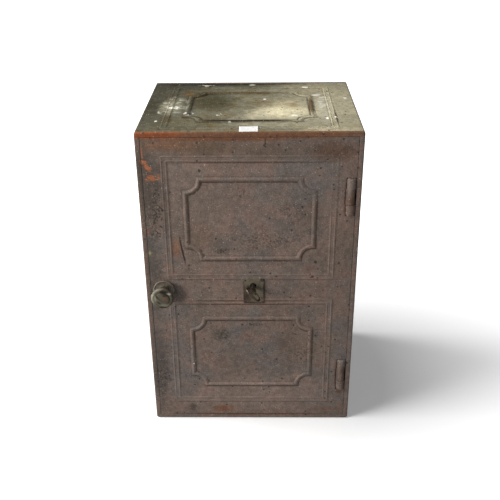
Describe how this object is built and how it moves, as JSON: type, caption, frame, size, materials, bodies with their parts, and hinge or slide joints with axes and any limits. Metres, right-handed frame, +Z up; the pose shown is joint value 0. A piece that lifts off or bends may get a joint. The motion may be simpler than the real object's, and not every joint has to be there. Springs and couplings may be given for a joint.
{
  "type": "cast iron box",
  "caption": "Heavy cast iron strong box with a hinged moulded door, turning knob, key in its escutcheon and round bolts.",
  "frame": {"origin": "centre of the flat base of the case", "axes": "+X to the right seen from the front, +Y to the back, +Z up; the door is at -Y"},
  "size_m": [0.4124, 0.376, 0.6392],
  "materials": {
    "case_iron": "old cast iron, worn paint and patina",
    "door_iron": "old cast iron, worn paint and rust spots",
    "back_iron": "old cast iron",
    "hinge_iron": "old cast iron",
    "stop_iron": "dark iron bar",
    "lock_iron": "black iron, oiled",
    "aged_brass": "dull aged brass",
    "knob_brass": "dull aged brass, turned",
    "key_brass": "dull aged brass",
    "pin_steel": "bright drawn steel, aged",
    "bolt_steel": "filed steel, oiled",
    "screw_steel": "blackened steel",
    "escutcheon_pin_steel": "dark iron pins"
  },
  "bodies": {
    "case": {"case_shell": "case_iron", "back_plate": "back_iron", "back_plate_screws": "screw_steel", "hinge_bracket_upper": "hinge_iron", "hinge_bracket_lower": "hinge_iron", "hinge_leaf_screws": "screw_steel", "hinge_pin_upper": "pin_steel", "hinge_pin_lower": "pin_steel", "door_stop_left": "stop_iron", "door_stop_right": "stop_iron", "door_stop_top": "stop_iron", "door_stop_bottom": "stop_iron", "door_stop_screws": "screw_steel"},
    "door": {"door_plate": "door_iron", "escutcheon": "aged_brass", "escutcheon_pins": "escutcheon_pin_steel", "knob_rose": "aged_brass", "spindle_bush": "aged_brass", "lock_case": "lock_iron", "lock_cover": "lock_iron", "lock_screws": "screw_steel", "lock_wards": "aged_brass", "drill_pin": "pin_steel", "bolt_guide_post": "pin_steel", "bolt_guide_upper": "lock_iron", "bolt_guide_lower": "lock_iron", "bolt_guide_screws": "screw_steel"},
    "knob": {"door_knob": "knob_brass", "knob_spindle": "pin_steel", "latch_tongue": "bolt_steel", "spindle_washer": "screw_steel", "spindle_nut": "screw_steel"},
    "boltwork": {"lock_bolt": "bolt_steel", "bolt_spring": "bolt_steel", "bolt_carriage": "bolt_steel", "bolt_upper": "bolt_steel", "bolt_lower": "bolt_steel", "carriage_rivets": "pin_steel"},
    "key": {"key": "key_brass"}
  },
  "joints": [
    {"name": "door_swing", "type": "hinge", "parent": "case", "child": "door", "pos_m": [0.184, -0.162, 0.318], "axis": [0, 0, 1], "range_deg": [0, 130]},
    {"name": "knob_turn", "type": "hinge", "parent": "door", "child": "knob", "pos_m": [-0.1678, -0.165, 0.31794], "axis": [0, 1, 0], "range_deg": [0, 90]},
    {"name": "key_turn", "type": "hinge", "parent": "door", "child": "key", "pos_m": [0.005, -0.165, 0.32694], "axis": [0, -1, 0], "range_deg": [-45, 315]},
    {"name": "bolt_slide", "type": "slide", "parent": "door", "child": "boltwork", "axis": [-1, 0, 0], "range_m": [-0.00175, 0.01225]}
  ],
  "couplings": [
    {"joint": "key_turn", "follows": "bolt_slide", "rad_per_m": 448.8}
  ]
}
